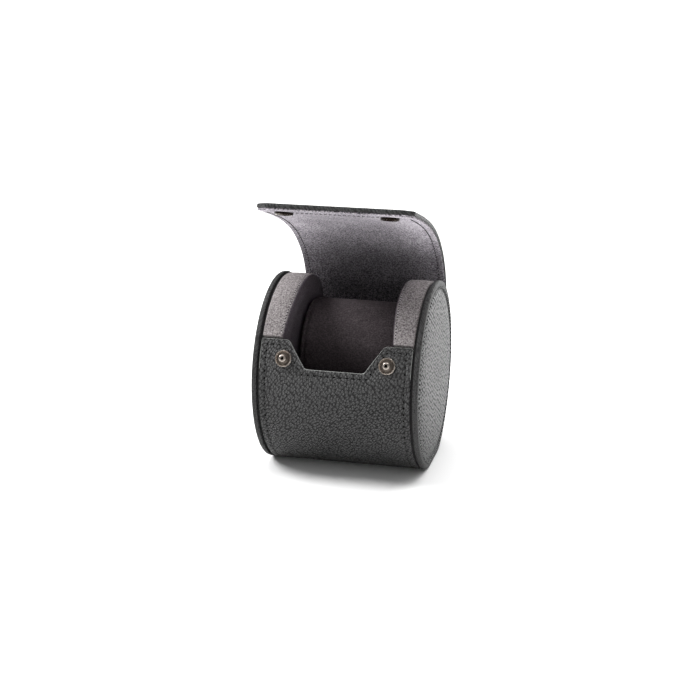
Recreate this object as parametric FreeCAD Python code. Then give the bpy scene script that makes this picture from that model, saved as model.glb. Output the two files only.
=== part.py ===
import FreeCAD, Part
import math
import os

# Roll-shaped travel case with a padded bay and a snap lid. The axis of the roll lies along X, the front faces -Y,
# and the origin is the middle of the flat that the case stands on. All lengths are in millimetres.

# Driving dimensions of the roll
case_radius = 49.0
base_cut = 2.0
base_corner_radius = 20.0
body_width = 77.0
leather = 1.4
board = 1.2
lining = 0.8
overrun = 5.0

# Angles round the axis, from straight up, positive towards the back
hinge_angle = 79.5
ear_top_angle = -58.2
notch_bottom_angle = -75.0
stud_angle = -69.7

# Notch between the ears
ear_width = 14.1
notch_flare = 9.4
notch_corner_radius = 2.0

# Ends of the roll
groove_width = 1.25
groove_depth = 1.7
end_board = 1.4
rim_leather = 1.2
rim_border = 4.4
rim_rounding = 1.1
rim_seam = 0.3
face_leather = 1.0
face_dome = 1.5
face_edge_sink = 0.3

# Cheeks
cheek_width = 10.5
cheek_sink = 0.9
cheek_forward = 0.5
cheek_raise = 0.4
cheek_back_angle = 60.0
cheek_suede = 0.8
cheek_edge_rounding = 0.7
ear_clearance = 0.2

# Cushion roll
cushion_radius = 28.7
strap_room = 6.9
cushion_raise = 6.0
cushion_crown = 0.8
cushion_end_rounding = 3.6
cushion_cover = 1.0
cushion_seam = 2.5

# Lid flap, a row of slats that follow each other from the hinge to the leading edge
lid_overhang = 0.7
lid_root_gap = 0.1
lid_shoulder = 4.0
lid_leather = 1.2
lid_board = 1.2
lid_lining = 0.9
slat_length_shares = [0.5714, 0.5102, 0.5102, 0.4898, 0.4286, 0.4490]
slat_gap = 0.15
slat_open_angles = [102.5, 71.5, 44.5, 28.5, 19.5, 16.5, 16.5]
slat_closing_turns = [14.5073, 9.7307, 6.4639, 9.7602, 18.4683, 27.2690]
lid_over_opening = 6.0
lid_corner_width = 5.5
lid_corner_length = 5.0
lid_edge_turn = 1.2
facing_thickness = 0.7
facing_length = 14.0
lining_slant_width = 12.5
lining_flush = 1.0

# Snaps
snap_from_side = 12.2
snap_from_edge = 9.0
stud_flange_radius = 4.3
stud_flange = 0.55
stud_bead = 0.9
stud_bead_width = 0.8
stud_post_radius = 1.9
stud_post_waist = 0.25
stud_post_height = 2.9
stud_hole_radius = 0.7
stud_hole_depth = 1.6
stud_sink = 0.25
rivet_radius = 1.5
rivet_flange_radius = 3.0
rivet_flange = 0.4
socket_radius = 5.3
socket_proud = 1.5
socket_lip_radius = 2.3
socket_dish_radius = 4.0
socket_dish = 0.5
socket_well = 2.6
socket_rounding = 0.5
cap_radius = 6.2
cap_plate = 0.5


axis_height = case_radius - base_cut
half_width = body_width / 2
wall = leather + board + lining
end_inner = half_width + groove_width
end_flange = end_inner + end_board
cheek_inner = half_width - cheek_width
cheek_radius = case_radius - cheek_sink
notch_top_width = body_width - 2 * ear_width
notch_bottom_width = notch_top_width - 2 * notch_flare
cushion_back = case_radius - wall - strap_room - cushion_radius
lid_width = body_width + 2 * lid_overhang
slat_lengths = [case_radius * share for share in slat_length_shares]
lining_slant_length = slat_lengths[0] - facing_length - lining_flush
snap_spacing = body_width - 2 * snap_from_side
snap_from_front_slat = slat_lengths[-1] - snap_from_edge


def at(x, y, z):
    """A point given from the roll's axis."""
    return FreeCAD.Vector(x, y, axis_height + z)


def polar(angle, radius):
    """Height and depth of a point round the axis: y, z."""
    turn = math.radians(angle)
    return radius * math.sin(turn), radius * math.cos(turn)


def section_wire(inset, x):
    """The roll's outline, pulled in by an inset: a round with a flat base and soft base corners."""
    radius = case_radius - inset
    corner = base_corner_radius - inset
    floor = axis_height - inset
    centre_z = base_corner_radius - axis_height
    reach = case_radius - base_corner_radius
    centre_y = math.sqrt(reach ** 2 - centre_z ** 2)
    lean = math.degrees(math.atan2(centre_y, centre_z))
    flat_back = at(x, centre_y, -floor)
    flat_front = at(x, -centre_y, -floor)
    side_back = at(x, *polar(lean, radius))
    side_front = at(x, *polar(-lean, radius))
    middle = (lean + 180) / 2
    corner_y, corner_z = polar(middle, corner)
    edges = [
        Part.Arc(side_front, at(x, *polar(0, radius)), side_back),
        Part.Arc(side_back, at(x, centre_y + corner_y, centre_z + corner_z), flat_back),
        Part.LineSegment(flat_back, flat_front),
        Part.Arc(flat_front, at(x, -centre_y - corner_y, centre_z + corner_z), side_front),
    ]
    return Part.Wire([edge.toShape() for edge in edges])


def section_slab(inset, start, end):
    """A slice of the roll between two places on its axis."""
    face = Part.Face(section_wire(inset, start))
    return face.extrude(FreeCAD.Vector(end - start, 0, 0))


def polygon_face(points):
    return Part.Face(Part.makePolygon(points + points[:1]))


def wedge(first_angle, last_angle, start, end):
    """The space between two angles round the axis, well past the roll."""
    reach = 2 * case_radius
    steps = 4
    points = [at(start, 0, 0)]
    for step in range(steps + 1):
        angle = first_angle + (last_angle - first_angle) * step / steps
        points.append(at(start, *polar(angle, reach)))
    return polygon_face(points).extrude(FreeCAD.Vector(end - start, 0, 0))


def spin(profile, base, axis):
    """A turned solid from (radius, height) points along an axis."""
    across = axis.cross(FreeCAD.Vector(1, 0, 0))
    across.normalize()
    points = [base + across * radius + axis * height for radius, height in profile]
    return polygon_face(points).revolve(base, axis, 360)


os.makedirs("parts", exist_ok=True)


def save(name, shape):
    shape.exportStep("parts/" + name + ".step")


def mirrored(shape):
    return shape.mirror(FreeCAD.Vector(0, 0, 0), FreeCAD.Vector(1, 0, 0))


# Outer wrap: leather, board and lining, open over the top, notched in front

opening = wedge(ear_top_angle, hinge_angle, -half_width - overrun, half_width + overrun)


def notch_cutter():
    """The trapezoid between the ears, cut square to the wall at the middle of the notch."""
    middle = (ear_top_angle + notch_bottom_angle) / 2
    out_y, out_z = polar(middle, 1)
    outward = FreeCAD.Vector(0, out_y, out_z)
    upward = FreeCAD.Vector(0, -out_z, out_y) * -1
    low = case_radius * math.sin(math.radians(notch_bottom_angle - middle))
    high = case_radius * math.sin(math.radians(ear_top_angle - middle))
    flare = (notch_top_width - notch_bottom_width) / 2 / (high - low)
    top = high + overrun
    top_half = notch_top_width / 2 + flare * overrun
    start = at(0, 0, 0) + outward * (case_radius - wall - overrun)
    outline = [(-notch_bottom_width / 2, low), (notch_bottom_width / 2, low), (top_half, top), (-top_half, top)]
    points = [start + FreeCAD.Vector(x, 0, 0) + upward * rise for x, rise in outline]
    solid = polygon_face(points).extrude(outward * (wall + 2 * overrun))
    corners = [edge for edge in solid.Edges if abs(edge.tangentAt(edge.FirstParameter).dot(outward)) > 0.99]
    lower = sorted(corners, key=lambda edge: edge.CenterOfMass.z)[:2]
    return solid.makeFillet(notch_corner_radius, lower)


stud_out = FreeCAD.Vector(0, *polar(stud_angle, 1))
stud_places = [-snap_spacing / 2, snap_spacing / 2]
stud_seat_radius = case_radius - stud_sink


def stud_base(x, radius):
    return at(x, *polar(stud_angle, radius))


def stud_holes(inner, outer, hole):
    holes = [Part.makeCylinder(hole, outer - inner, stud_base(x, inner), stud_out) for x in stud_places]
    return Part.makeCompound(holes)


def wrap_layer(outer_inset, inner_inset):
    outer = section_slab(outer_inset, -half_width, half_width)
    inner = section_slab(inner_inset, -half_width - overrun, half_width + overrun)
    return outer.cut(inner).cut(opening).cut(notch_cutter())


board_radius = case_radius - leather - board
body_leather = wrap_layer(0, leather)
body_leather = body_leather.cut(stud_holes(board_radius, case_radius + overrun, rivet_radius))
body_leather = body_leather.cut(stud_holes(stud_seat_radius, case_radius + overrun, stud_flange_radius))
body_board = wrap_layer(leather, leather + board)
body_board = body_board.cut(stud_holes(board_radius - board, case_radius, rivet_radius))
body_board = body_board.cut(stud_holes(board_radius - board, board_radius + rivet_flange, rivet_flange_radius))
body_lining = wrap_layer(leather + board, wall)
save("body_leather", body_leather)
save("body_board", body_board)
save("body_lining", body_lining)

facing_degrees = math.degrees(facing_length / (case_radius - wall))
facing_ring = section_slab(wall, -cheek_inner, cheek_inner)
facing_ring = facing_ring.cut(section_slab(wall + facing_thickness, -half_width, half_width))
facing_span = wedge(hinge_angle, hinge_angle + facing_degrees, -half_width, half_width)
save("hinge_facing_body", facing_ring.common(facing_span))


# Snap studs on the ears, with their rivets behind the leather

def stud_profile():
    neck = stud_post_radius - stud_post_waist
    head = stud_post_height - 2 * stud_post_waist
    bead_inner = stud_flange_radius - stud_bead_width
    return [
        (0, 0),
        (stud_flange_radius, 0),
        (stud_flange_radius, stud_flange),
        (stud_flange_radius - stud_bead_width / 2, stud_bead),
        (bead_inner, stud_flange),
        (stud_post_radius, stud_flange),
        (neck, stud_bead),
        (stud_post_radius, head - stud_post_waist),
        (stud_post_radius, head),
        (neck, stud_post_height),
        (stud_hole_radius, stud_post_height),
        (stud_hole_radius, stud_post_height - stud_hole_depth),
        (0, stud_post_height - stud_hole_depth),
    ]


rivet_reach = stud_seat_radius - board_radius
rivet_profile = [
    (0, 0),
    (rivet_flange_radius, 0),
    (rivet_flange_radius, rivet_flange),
    (rivet_radius, rivet_flange),
    (rivet_radius, rivet_reach),
    (0, rivet_reach),
]
save("snap_studs", Part.makeCompound([spin(stud_profile(), stud_base(x, stud_seat_radius), stud_out) for x in stud_places]))
save("snap_stud_rivets", Part.makeCompound([spin(rivet_profile, stud_base(x, board_radius), stud_out) for x in stud_places]))


# Ends: board, domed padding, leather face, turned leather rim, and the tape in the groove

def dome(inset, base_x, edge_height, crown):
    """A flat-based disc with a ball-shaped top, cut to the roll's outline."""
    rim = case_radius - inset
    ball = (rim ** 2 + crown ** 2) / (2 * crown)
    sphere = Part.makeSphere(ball, at(base_x + edge_height + crown - ball, 0, 0))
    return section_slab(inset, base_x, base_x + edge_height + crown).common(sphere)


board_inset = rim_leather
face_inset = rim_border + rim_seam
tape = section_slab(groove_depth, half_width, end_inner)
end_disc = section_slab(board_inset, end_inner, end_flange)
face_edge = rim_leather - face_edge_sink
foam_edge = face_edge - face_leather + rim_seam
padding = dome(face_inset + face_leather, end_flange, foam_edge, face_dome)
face = dome(face_inset, end_flange, face_edge, face_dome).cut(padding)
rim_block = section_slab(0, end_inner, end_flange + rim_leather)
outer_edges = [edge for edge in rim_block.Edges if edge.BoundBox.XMin > end_flange + rim_leather - face_edge_sink]
rim_block = rim_block.makeFillet(rim_rounding, outer_edges)
rim = rim_block.cut(section_slab(board_inset, end_inner - overrun, end_flange))
rim = rim.cut(section_slab(rim_border, end_inner - overrun, end_flange + overrun))


# Cheeks: a thick pad with a suede band over its curved edge and suede on its flat side

cheek_eye = at(0, -cheek_forward, cheek_raise)


def cheek_block(inset, start, end):
    """The pad under the wrap, raised to a round of its own where the roll is open."""
    low = section_slab(wall + inset, start, end)
    tall_eye = cheek_eye + FreeCAD.Vector(start, 0, 0)
    tall = Part.makeCylinder(cheek_radius - inset, end - start, tall_eye, FreeCAD.Vector(1, 0, 0))
    return low.fuse(tall.common(cheek_span(start, end))).removeSplitter()


def cheek_span(start, end):
    lift = math.degrees(ear_clearance / case_radius)
    return wedge(ear_top_angle + lift, cheek_back_angle, start, end)


cheek_face_end = cheek_inner + cheek_suede
core_radius = cheek_radius - cheek_suede


def band_ring(rounding):
    """The suede over the curved edge, turned from its section, which starts under the pad."""

    def spot(x, radius):
        return cheek_eye + FreeCAD.Vector(x, 0, -radius)

    shoulder = cheek_radius - rounding
    turn = rounding * (1 - math.sqrt(0.5))
    corner = [spot(cheek_inner, shoulder), spot(cheek_inner + turn, cheek_radius - turn)]
    corner.append(spot(cheek_inner + rounding, cheek_radius))
    outer = spot(half_width, cheek_radius)
    inner = [spot(half_width, core_radius), spot(cheek_inner, core_radius)]
    edges = [Part.Arc(*corner).toShape() if rounding else None]
    for first, second in zip([corner[-1], outer] + inner, [outer] + inner + [corner[0]]):
        edges.append(Part.LineSegment(first, second).toShape())
    section = Part.Face(Part.Wire([edge for edge in edges if edge]))
    ring = section.revolve(cheek_eye, FreeCAD.Vector(1, 0, 0), 360)
    return ring.common(cheek_span(cheek_inner, half_width))


band = band_ring(cheek_edge_rounding)
band_room = band_ring(0)
cheek_facing = cheek_block(0, cheek_inner, cheek_face_end).cut(band_room)
pad = cheek_block(0, cheek_face_end, half_width).cut(band_room)

for side, place in (("left", mirrored), ("right", lambda shape: shape)):
    save("groove_tape_" + side, place(tape))
    save("end_board_" + side, place(end_disc))
    save("end_foam_" + side, place(padding))
    save("end_face_" + side, place(face))
    save("end_rim_" + side, place(rim))
    save("cheek_foam_" + side, place(pad))
    save("cheek_band_" + side, place(band))
    save("cheek_facing_" + side, place(cheek_facing))


# Cushion: a foam roll in a suede sleeve with end panels, held between the cheeks

def cushion_solid(inset):
    """A crowned roll with rounded ends, turned about its own axis."""
    radius = cushion_radius - inset
    half = cheek_inner - inset
    rounding = cushion_end_rounding - inset
    shoulder = radius - cushion_crown
    middle = FreeCAD.Vector(0, cushion_back, axis_height + cushion_raise)

    def spot(x, r):
        return middle + FreeCAD.Vector(x, 0, r)

    turn = math.sqrt(0.5)
    edges = []
    for sign in (-1, 1):
        heel = spot(sign * half, shoulder - rounding)
        toe = spot(sign * (half - rounding), shoulder)
        bend = spot(sign * (half - rounding + rounding * turn), shoulder - rounding + rounding * turn)
        edges.append(Part.LineSegment(spot(sign * half, 0), heel).toShape())
        edges.append(Part.Arc(heel, bend, toe).toShape())
    crown = Part.Arc(spot(rounding - half, shoulder), spot(0, radius), spot(half - rounding, shoulder))
    edges.append(crown.toShape())
    edges.append(Part.LineSegment(spot(-half, 0), spot(half, 0)).toShape())
    outline = Part.Face(Part.Wire(Part.__sortEdges__(edges)))
    return outline.revolve(middle, FreeCAD.Vector(1, 0, 0), 360)


cushion_core = cushion_solid(cushion_cover)
cushion_skin = cushion_solid(0).cut(cushion_core)
seam = cheek_inner - cushion_seam
cushion_corner = at(-seam, cushion_back - 2 * cushion_radius, cushion_raise - 2 * cushion_radius)
sleeve_box = Part.makeBox(2 * seam, 4 * cushion_radius, 4 * cushion_radius, cushion_corner)
save("cushion_core", cushion_core)
save("cushion_cover", cushion_skin.common(sleeve_box))
for panel in cushion_skin.cut(sleeve_box).Solids:
    save("cushion_end_left" if panel.CenterOfMass.x < 0 else "cushion_end_right", panel)


# Lid flap: slats of leather, board and lining, each bent to its stretch of the open flap

class Slat:
    """One stretch of the flap, on the line between its leather and its board."""

    def __init__(self, start, length, first_angle, last_angle):
        self.start = start
        self.length = length
        self.first = math.radians(first_angle)
        self.turn = math.radians(last_angle - first_angle)

    def heading(self, along):
        return self.first + self.turn * along / self.length

    def outward(self, along):
        angle = self.heading(along)
        return FreeCAD.Vector(0, math.sin(angle), math.cos(angle))

    def forward(self, along):
        angle = self.heading(along)
        return FreeCAD.Vector(0, -math.cos(angle), math.sin(angle))

    def point(self, along, depth):
        if self.turn == 0:
            line_point = self.start + self.forward(0) * along
        else:
            bend = -self.length / self.turn
            eye = self.start - self.outward(0) * bend
            line_point = eye + self.outward(along) * bend
        return line_point + self.outward(along) * depth

    def layer(self, low, high, first_low, first_high, last_low, last_high):
        """A layer between two depths, whose ends may slant."""
        runs = [(low, first_low, last_low), (high, first_high, last_high)]
        edges = []
        for depth, first, last in runs:
            ends = self.point(first, depth), self.point(last, depth)
            if self.turn == 0:
                edges.append(Part.LineSegment(*ends).toShape())
            else:
                edges.append(Part.Arc(ends[0], self.point((first + last) / 2, depth), ends[1]).toShape())
        edges.append(Part.LineSegment(self.point(first_low, low), self.point(first_high, high)).toShape())
        edges.append(Part.LineSegment(self.point(last_low, low), self.point(last_high, high)).toShape())
        face = Part.Face(Part.Wire(Part.__sortEdges__(edges)))
        face.translate(FreeCAD.Vector(-lid_width / 2, 0, 0))
        return face.extrude(FreeCAD.Vector(lid_width, 0, 0))

    def prism(self, along, outline, low, high):
        """A block over an outline of (x, along) points, square to the slat at one place."""
        base = self.point(along, low)
        ahead = self.forward(along)
        points = [base + FreeCAD.Vector(x, 0, 0) + ahead * (s - along) for x, s in outline]
        return polygon_face(points).extrude(self.outward(along) * (high - low))


def make_slats():
    slats = []
    start = at(0, *polar(hinge_angle, case_radius - leather))
    for number, length in enumerate(slat_lengths):
        slat = Slat(start, length, slat_open_angles[number], slat_open_angles[number + 1])
        slats.append(slat)
        start = slat.point(length, 0)
    return slats


slats = make_slats()
lining_low = -lid_board - lid_lining
closing_slants = [math.tan(math.radians(turn / 2)) for turn in slat_closing_turns] + [0]
hinge_lean = slat_open_angles[0] - hinge_angle
root_slant = math.tan(math.radians(hinge_lean + lid_over_opening))
hinge_slant = math.tan(math.radians(slat_closing_turns[0] - hinge_lean))
last = len(slats) - 1


def inner_start(number, depth):
    """Where a board or lining starts, set back so that the slats can close on each other."""
    slant = max(hinge_slant, 0) if number == 0 else closing_slants[number]
    return slat_gap - depth * slant


def inner_end(number, depth):
    edge = lid_edge_turn if number == last else slat_gap
    return slat_lengths[number] - edge + depth * closing_slants[number + 1]


def inner_layer(number, low, high):
    starts = inner_start(number, low), inner_start(number, high)
    ends = inner_end(number, low), inner_end(number, high)
    return slats[number].layer(low, high, *starts, *ends)


def leather_layer(number):
    slat = slats[number]
    length = slat_lengths[number]
    end = length if number == last else length - slat_gap
    outer_start = slat_gap + (lid_leather * root_slant if number == 0 else 0)
    shape = slat.layer(0, lid_leather, slat_gap, outer_start, end, end)
    if number == last:
        turned = slat.layer(-lid_edge_turn, 0, length - lid_edge_turn, length - lid_edge_turn, length, length)
        shape = shape.fuse(turned).removeSplitter()
    return shape


def front_corners(slat):
    """The two slanted corners of the leading edge."""
    half = lid_width / 2
    length = slat.length
    blocks = []
    for sign in (-1, 1):
        outline = [
            (sign * half, length - lid_corner_length),
            (sign * (half + overrun), length - lid_corner_length),
            (sign * (half + overrun), length + overrun),
            (sign * (half - lid_corner_width), length + overrun),
            (sign * (half - lid_corner_width), length),
        ]
        blocks.append(slat.prism(length, outline, -overrun, overrun))
    return Part.makeCompound(blocks)


front = slats[last]
socket_low = lining_low - socket_proud


def snap_base(x, depth):
    return front.point(snap_from_front_slat, depth) + FreeCAD.Vector(x, 0, 0)


snap_out = front.outward(snap_from_front_slat)
cap_beds = Part.makeCompound(
    [Part.makeCylinder(cap_radius, cap_plate, snap_base(x, -cap_plate), snap_out) for x in stud_places]
)
socket_bore = lid_board + lid_lining - cap_plate
socket_holes = Part.makeCompound(
    [Part.makeCylinder(socket_dish_radius, socket_bore, snap_base(x, lining_low), snap_out) for x in stud_places]
)
corner_cuts = front_corners(front)

root = slats[0]
half_lid = lid_width / 2
slant_outline = [
    (-half_lid - overrun, -overrun),
    (half_lid + overrun, -overrun),
    (half_lid + overrun, facing_length + lining_slant_length),
    (half_lid, facing_length + lining_slant_length),
    (half_lid - lining_slant_width, facing_length),
    (lining_slant_width - half_lid, facing_length),
    (-half_lid, facing_length + lining_slant_length),
    (-half_lid - overrun, facing_length + lining_slant_length),
]
slant_block = root.prism(facing_length, slant_outline, -overrun, overrun)


def root_corners():
    """What the flap loses beside the hinge, where it is no wider than the wrap."""
    neck = half_width - lid_root_gap
    blocks = []
    for sign in (-1, 1):
        outline = [
            (sign * neck, -overrun),
            (sign * (half_lid + overrun), -overrun),
            (sign * (half_lid + overrun), facing_length + lid_shoulder),
            (sign * half_lid, facing_length + lid_shoulder),
            (sign * neck, facing_length),
        ]
        blocks.append(root.prism(facing_length, outline, -overrun, overrun))
    return Part.makeCompound(blocks)


root_cuts = root_corners()

for number in range(len(slats)):
    hide = leather_layer(number)
    stiffener = inner_layer(number, -lid_board, 0)
    suede = inner_layer(number, lining_low, -lid_board)
    if number == 0:
        facing = inner_layer(number, -lid_board - facing_thickness, -lid_board)
        save("hinge_facing_lid", facing.common(slant_block).cut(root_cuts))
        hide = hide.cut(root_cuts)
        stiffener = stiffener.cut(root_cuts)
        suede = suede.cut(slant_block).cut(root_cuts)
    if number == last:
        hide = hide.cut(corner_cuts)
        stiffener = stiffener.cut(corner_cuts).cut(cap_beds).cut(socket_holes)
        suede = suede.cut(corner_cuts).cut(socket_holes)
    save("lid_%d_leather" % (number + 1), hide)
    save("lid_%d_board" % (number + 1), stiffener)
    save("lid_%d_lining" % (number + 1), suede)


# Snap sockets in the lining, on flat caps that lie in the board, hidden by the leather

socket_height = socket_proud + socket_bore
socket_profile = [
    (socket_lip_radius, 0),
    (socket_radius - socket_rounding, 0),
    (socket_radius, socket_rounding),
    (socket_radius, socket_proud),
    (socket_dish_radius, socket_proud),
    (socket_dish_radius, socket_height),
    (0, socket_height),
    (0, socket_well),
    (socket_lip_radius + socket_dish, socket_well),
    (socket_lip_radius + socket_dish, socket_dish),
    (socket_lip_radius, socket_dish),
]
cap_profile = [
    (0, 0),
    (cap_radius, 0),
    (cap_radius, cap_plate),
    (0, cap_plate),
]
save("snap_sockets", Part.makeCompound([spin(socket_profile, snap_base(x, socket_low), snap_out) for x in stud_places]))
save("snap_caps", Part.makeCompound([spin(cap_profile, snap_base(x, -cap_plate), snap_out) for x in stud_places]))
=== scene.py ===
import math

import bmesh
import bpy
import numpy as np
from mathutils import Matrix, Vector


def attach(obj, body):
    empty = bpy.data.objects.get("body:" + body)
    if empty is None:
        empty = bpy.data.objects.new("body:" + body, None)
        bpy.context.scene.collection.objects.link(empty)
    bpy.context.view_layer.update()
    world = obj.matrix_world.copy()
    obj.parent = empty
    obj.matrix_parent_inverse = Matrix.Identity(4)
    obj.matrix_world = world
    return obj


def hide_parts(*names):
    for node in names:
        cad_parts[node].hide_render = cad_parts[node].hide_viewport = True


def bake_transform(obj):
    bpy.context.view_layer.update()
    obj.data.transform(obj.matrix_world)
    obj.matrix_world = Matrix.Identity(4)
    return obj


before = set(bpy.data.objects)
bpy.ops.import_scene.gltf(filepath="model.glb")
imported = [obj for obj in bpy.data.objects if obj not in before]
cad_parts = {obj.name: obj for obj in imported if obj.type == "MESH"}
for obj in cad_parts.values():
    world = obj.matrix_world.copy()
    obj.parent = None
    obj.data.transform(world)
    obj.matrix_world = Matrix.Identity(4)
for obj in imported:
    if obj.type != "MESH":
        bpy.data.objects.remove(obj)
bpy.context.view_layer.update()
bpy.ops.object.select_all(action="DESELECT")
mm = 0.001


# Wrap leather
# The roll's outside is one panel of pebbled calf leather, cut flat with a notch between two ears, and skived
# and sewn along its rims. It is rolled from the hinge at the back, under the base, up to the ears in front.

case_radius = 49 * mm
axis_height = 47 * mm
base_corner = 20 * mm
hinge_angle = math.radians(79.5)
ear_angle = math.radians(360 - 58.2)
wrap_half = 38.5 * mm
wrap_thick = 1.4 * mm
wrap_rim = 0.4 * mm
wrap_overrun = 15 * mm
ear_inner = 24.4 * mm
ear_outer_round = 0.8 * mm
ear_inner_round = 1.4 * mm
notch_half = 15 * mm
notch_deep = 14.37 * mm
notch_round = 1.2 * mm
highlight_back = 1 * mm
hinge_lap = 5 * mm
seam_in = 3.0 * mm
seam_half = 0.6 * mm
seam_deep = 0.3 * mm
roll_step = 1.5 * mm
corner_reach = 9 * mm
corner_slack = 0.01 * mm
level_slack = 0.0001 * mm

corner_z = base_corner - axis_height
corner_y = math.sqrt((case_radius - base_corner) ** 2 - corner_z ** 2)
corner_lean = math.atan2(corner_y, corner_z)
back_run = case_radius * (corner_lean - hinge_angle)
corner_run = base_corner * (math.pi - corner_lean)
front_run = case_radius * (ear_angle + corner_lean - 2 * math.pi)
wrap_length = back_run + 2 * corner_run + 2 * corner_y + front_run


def wrap_spot(along, out):
    """The roll's outside in y and z, at a distance along from the hinge round the back, base and front."""
    reach = case_radius + out
    bend = base_corner + out
    if along < back_run:
        angle = hinge_angle + along / case_radius
        return reach * math.sin(angle), axis_height + reach * math.cos(angle)
    along -= back_run
    if along < corner_run:
        angle = corner_lean + along / base_corner
        return corner_y + bend * math.sin(angle), axis_height + corner_z + bend * math.cos(angle)
    along -= corner_run
    if along < 2 * corner_y:
        return corner_y - along, -out
    along -= 2 * corner_y
    if along < corner_run:
        angle = math.pi + along / base_corner
        return -corner_y + bend * math.sin(angle), axis_height + corner_z + bend * math.cos(angle)
    angle = 2 * math.pi - corner_lean + (along - corner_run) / case_radius
    return reach * math.sin(angle), axis_height + reach * math.cos(angle)


def on_wrap(x, along, out):
    return (x, *wrap_spot(along, out))


def only(piece):
    """Selects one piece alone and makes it active."""
    bpy.ops.object.select_all(action="DESELECT")
    piece.select_set(True)
    bpy.context.view_layer.objects.active = piece


def open_mesh():
    """Starts to edit the active piece, with its whole mesh selected."""
    bpy.ops.object.mode_set(mode="EDIT")
    bpy.ops.mesh.select_all(action="SELECT")


def close_mesh():
    bpy.ops.object.mode_set(mode="OBJECT")


def pick(piece, kind, test):
    """Selects the vertices, edges or faces of the piece in edit mode that pass a test."""
    bpy.ops.mesh.select_mode(type=kind)
    bpy.ops.mesh.select_all(action="DESELECT")
    shape = bmesh.from_edit_mesh(piece.data)
    for part in {"VERT": shape.verts, "EDGE": shape.edges, "FACE": shape.faces}[kind]:
        if test(part):
            part.select_set(True)
    shape.select_flush_mode()
    bmesh.update_edit_mesh(piece.data)


def cut_blank(name, outline, thick):
    """A flat blank with its face up at height 0, cut to an outline, left in edit mode."""
    bpy.ops.mesh.primitive_circle_add(vertices=len(outline), radius=1, fill_type="NGON")
    blank = bpy.context.object
    blank.name = name
    for vertex, (x, along) in zip(blank.data.vertices, outline):
        vertex.co = (x, along, 0)
    open_mesh()
    bpy.ops.mesh.extrude_region_move(TRANSFORM_OT_translate={"value": (0, 0, -thick)})
    bpy.ops.mesh.select_all(action="SELECT")
    bpy.ops.mesh.normals_make_consistent(inside=False)
    return blank


def round_rim(blank, height, rim, segments):
    """Rounds the rim of a blank at a height."""
    pick(blank, "EDGE", lambda edge: all(abs(vertex.co.z - height) < level_slack for vertex in edge.verts))
    bpy.ops.mesh.bevel(offset=rim, segments=segments, affect="EDGES")


def press(blank, height, steps):
    """Insets the upper face of a blank step by step, each by a width and a rise."""
    def on_top(face):
        return face.normal.z > 0.99 and abs(face.calc_center_median().z - height) < level_slack

    pick(blank, "FACE", on_top)
    for width, rise in steps:
        bpy.ops.mesh.inset(thickness=width, depth=rise, use_even_offset=True)


def mirrored(half):
    """A whole outline from its right half, whose points have x, a distance along and a corner's rounding."""
    return half + [(-x, along, rounding) for x, along, rounding in reversed(half)]


def eared_outline(start, top, clear):
    """The outline of a sheet of the roll: straight at its start, notched between two ears at its top."""
    return mirrored([
        (wrap_half, start, 0),
        (wrap_half, top, ear_outer_round),
        (ear_inner + clear, top, ear_inner_round),
        (notch_half + clear, top - notch_deep, notch_round),
    ])


def cut_panel(name, outline, thick, rim, seams):
    """A flat panel with its face up: cut to an outline, rims softened, seams pressed in, corners rounded."""
    points = [Vector((x, along)) for x, along, rounding in outline]
    panel = cut_blank(name, points, thick)
    for height in (0, -thick):
        round_rim(panel, height, rim, 3)
    press(panel, 0, seams)
    for number, corner in enumerate(points):
        rounding = outline[number][2]
        if rounding:
            behind = (points[number - 1] - corner).normalized()
            ahead = (points[(number + 1) % len(points)] - corner).normalized()
            halving = (behind + ahead).normalized()

            def at_corner(edge):
                """An edge that runs up the corner or in from it."""
                steps = [vertex.co.to_2d() - corner for vertex in edge.verts]
                near = all(step.length < corner_reach for step in steps)
                return near and all(abs(step.cross(halving)) < corner_slack for step in steps)

            pick(panel, "EDGE", at_corner)
            bpy.ops.mesh.bevel(offset=rounding, segments=5, affect="EDGES", clamp_overlap=True)
    close_mesh()
    return panel


def seam_line(distance, rim):
    """The insets that press one sewn line into a panel, at a distance from its edge."""
    return [(distance - seam_half - rim, 0), (seam_half, -seam_deep), (seam_half, seam_deep)]


def trim(panel, start, end):
    """Keeps the stretch of a flat piece between two distances along it, with closed ends."""
    only(panel)
    open_mesh()
    for place, side in ((start, -1), (end, 1)):
        if place is not None:
            bpy.ops.mesh.select_all(action="SELECT")
            bpy.ops.mesh.bisect(plane_co=(0, place, 0), plane_no=(0, side, 0),
                                use_fill=True, clear_outer=True)
    close_mesh()


def score(panel, step):
    """Cuts lines across a flat panel at even steps, so that it can bend."""
    only(panel)
    along = [vertex.co.y for vertex in panel.data.vertices]
    open_mesh()
    for place in np.arange(math.ceil(min(along) / step) * step, max(along), step):
        bpy.ops.mesh.select_all(action="SELECT")
        bpy.ops.mesh.bisect(plane_co=(0, place, 0), plane_no=(0, 1, 0))
    close_mesh()


def settle(piece, angle):
    """Turns the faces outwards and shades the piece smooth, with edges sharper than an angle kept."""
    only(piece)
    open_mesh()
    bpy.ops.mesh.normals_make_consistent(inside=False)
    close_mesh()
    bpy.ops.object.shade_smooth_by_angle(angle=math.radians(angle))
    piece.select_set(False)


def lay(piece, place, angle=40):
    """Keeps a flat piece's pattern as a UV map in metres, and bends the piece to its place."""
    pattern = piece.data.uv_layers.new(name="pattern")
    for loop in piece.data.loops:
        x, y, z = piece.data.vertices[loop.vertex_index].co
        pattern.data[loop.index].uv = (x + z, y + z)
    for vertex in piece.data.vertices:
        vertex.co = place(*vertex.co)
    settle(piece, angle)


def dress(piece, *materials):
    """Gives a piece its finishes."""
    piece.data.materials.clear()
    for material in materials:
        piece.data.materials.append(material)


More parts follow.
